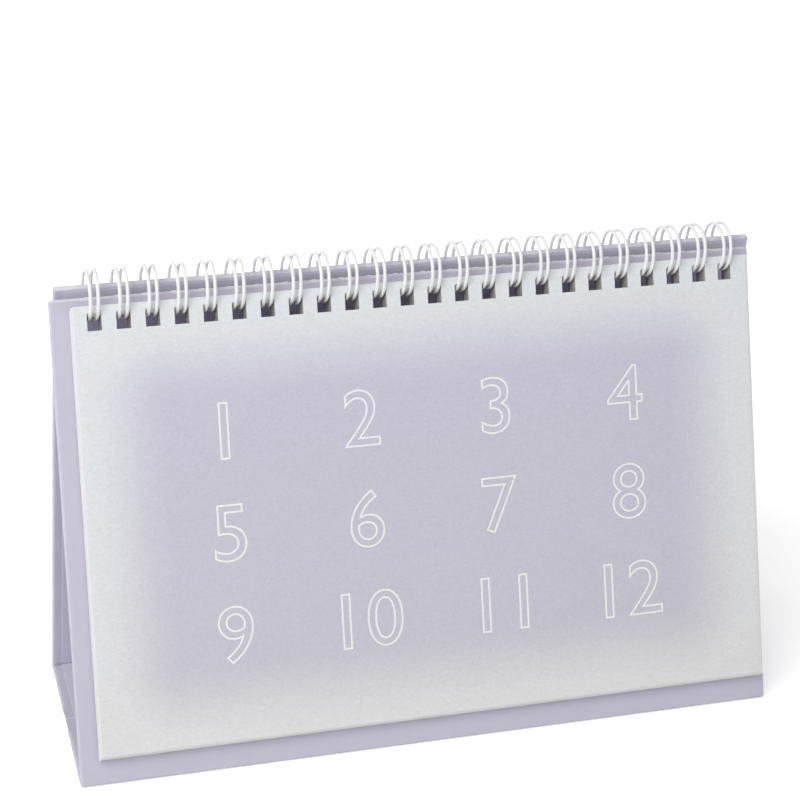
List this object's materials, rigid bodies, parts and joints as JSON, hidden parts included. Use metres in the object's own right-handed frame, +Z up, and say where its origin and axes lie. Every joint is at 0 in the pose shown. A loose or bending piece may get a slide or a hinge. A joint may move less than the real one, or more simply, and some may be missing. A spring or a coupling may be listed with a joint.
{
  "type": "flip-over desk calendar",
  "caption": "Flip-over desk calendar: month leaves on a white twin-loop wire along the ridge of a folded, paper-wrapped easel with a creased base.",
  "frame": {"origin": "middle of the footprint of the whole object, on the table", "axes": "+X along the ridge, to the right as seen from the front; -Y towards the front; +Z up"},
  "size_m": [0.219, 0.0752, 0.1471],
  "materials": {
    "cover_paper": "matte",
    "lining_paper": "matte",
    "greyboard": "matte",
    "binding_wire": "gloss",
    "cover_leaf_paper": "matte",
    "month_paper": "matte"
  },
  "bodies": {
    "front_stand": {"front_board": "greyboard", "front_cover_paper": "cover_paper", "front_lining": "lining_paper", "front_fold_paper": "lining_paper", "twin_loop_wire": "binding_wire"},
    "rear_stand": {"rear_board": "greyboard", "rear_cover_paper": "cover_paper", "rear_lining": "lining_paper", "rear_fold_paper": "lining_paper"},
    "base_front": {"base_front_board": "greyboard", "base_front_cover_paper": "cover_paper", "base_front_lining": "lining_paper", "base_front_crease": "lining_paper"},
    "base_rear": {"base_rear_board": "greyboard", "base_rear_cover_paper": "cover_paper", "base_rear_lining": "lining_paper", "base_rear_crease": "lining_paper"},
    "cover": {"cover_leaf": "cover_leaf_paper"},
    "month_01": {"month_leaf_01": "month_paper"},
    "month_02": {"month_leaf_02": "month_paper"},
    "month_03": {"month_leaf_03": "month_paper"},
    "month_04": {"month_leaf_04": "month_paper"},
    "month_05": {"month_leaf_05": "month_paper"},
    "month_06": {"month_leaf_06": "month_paper"},
    "month_07": {"month_leaf_07": "month_paper"},
    "month_08": {"month_leaf_08": "month_paper"},
    "month_09": {"month_leaf_09": "month_paper"},
    "month_10": {"month_leaf_10": "month_paper"},
    "month_11": {"month_leaf_11": "month_paper"},
    "month_12": {"month_leaf_12": "month_paper"}
  },
  "joints": [
    {"name": "stand_fold", "type": "hinge", "parent": "front_stand", "child": "rear_stand", "pos_m": [0, 0.00283, 0.13934], "axis": [-1, 0, 0], "range_deg": [0, 20]},
    {"name": "base_front_fold", "type": "hinge", "parent": "front_stand", "child": "base_front", "pos_m": [0, -0.033, 0.0023], "axis": [1, 0, 0], "range_deg": [0, 62], "deforming": ["front_fold_paper"]},
    {"name": "base_rear_fold", "type": "hinge", "parent": "rear_stand", "child": "base_rear", "pos_m": [0, 0.03489, 0.0023], "axis": [-1, 0, 0], "range_deg": [0, 76], "deforming": ["rear_fold_paper", "base_front_crease", "base_rear_crease"]},
    {"name": "cover_turn", "type": "hinge", "parent": "front_stand", "child": "cover", "pos_m": [0, 0.00283, 0.13934], "axis": [-1, 0, 0], "range_deg": [0, 180]},
    {"name": "month_01_turn", "type": "hinge", "parent": "front_stand", "child": "month_01", "pos_m": [0, 0.00283, 0.13934], "axis": [-1, 0, 0], "range_deg": [0, 177]},
    {"name": "month_02_turn", "type": "hinge", "parent": "front_stand", "child": "month_02", "pos_m": [0, 0.00283, 0.13934], "axis": [-1, 0, 0], "range_deg": [0, 174.01]},
    {"name": "month_03_turn", "type": "hinge", "parent": "front_stand", "child": "month_03", "pos_m": [0, 0.00283, 0.13934], "axis": [-1, 0, 0], "range_deg": [0, 171]},
    {"name": "month_04_turn", "type": "hinge", "parent": "front_stand", "child": "month_04", "pos_m": [0, 0.00283, 0.13934], "axis": [-1, 0, 0], "range_deg": [0, 168]},
    {"name": "month_05_turn", "type": "hinge", "parent": "front_stand", "child": "month_05", "pos_m": [0, 0.00283, 0.13934], "axis": [-1, 0, 0], "range_deg": [0, 165.01]},
    {"name": "month_06_turn", "type": "hinge", "parent": "front_stand", "child": "month_06", "pos_m": [0, 0.00283, 0.13934], "axis": [-1, 0, 0], "range_deg": [0, 162]},
    {"name": "month_07_turn", "type": "hinge", "parent": "front_stand", "child": "month_07", "pos_m": [0, 0.00283, 0.13934], "axis": [-1, 0, 0], "range_deg": [0, 159]},
    {"name": "month_08_turn", "type": "hinge", "parent": "front_stand", "child": "month_08", "pos_m": [0, 0.00283, 0.13934], "axis": [-1, 0, 0], "range_deg": [0, 156.01]},
    {"name": "month_09_turn", "type": "hinge", "parent": "front_stand", "child": "month_09", "pos_m": [0, 0.00283, 0.13934], "axis": [-1, 0, 0], "range_deg": [0, 153]},
    {"name": "month_10_turn", "type": "hinge", "parent": "front_stand", "child": "month_10", "pos_m": [0, 0.00283, 0.13934], "axis": [-1, 0, 0], "range_deg": [0, 150]},
    {"name": "month_11_turn", "type": "hinge", "parent": "front_stand", "child": "month_11", "pos_m": [0, 0.00283, 0.13934], "axis": [-1, 0, 0], "range_deg": [0, 147.01]},
    {"name": "month_12_turn", "type": "hinge", "parent": "front_stand", "child": "month_12", "pos_m": [0, 0.00283, 0.13934], "axis": [-1, 0, 0], "range_deg": [0, 144]}
  ],
  "couplings": [
    {"joint": "base_front_fold", "follows": "stand_fold", "ratio": 3.1},
    {"joint": "base_rear_fold", "follows": "stand_fold", "ratio": 3.8},
    {"joint": "month_01_turn", "follows": "cover_turn", "ratio": 0.9833},
    {"joint": "month_02_turn", "follows": "cover_turn", "ratio": 0.9667},
    {"joint": "month_03_turn", "follows": "cover_turn", "ratio": 0.95},
    {"joint": "month_04_turn", "follows": "cover_turn", "ratio": 0.9333},
    {"joint": "month_05_turn", "follows": "cover_turn", "ratio": 0.9167},
    {"joint": "month_06_turn", "follows": "cover_turn", "ratio": 0.9},
    {"joint": "month_07_turn", "follows": "cover_turn", "ratio": 0.8833},
    {"joint": "month_08_turn", "follows": "cover_turn", "ratio": 0.8667},
    {"joint": "month_09_turn", "follows": "cover_turn", "ratio": 0.85},
    {"joint": "month_10_turn", "follows": "cover_turn", "ratio": 0.8333},
    {"joint": "month_11_turn", "follows": "cover_turn", "ratio": 0.8167},
    {"joint": "month_12_turn", "follows": "cover_turn", "ratio": 0.8}
  ]
}
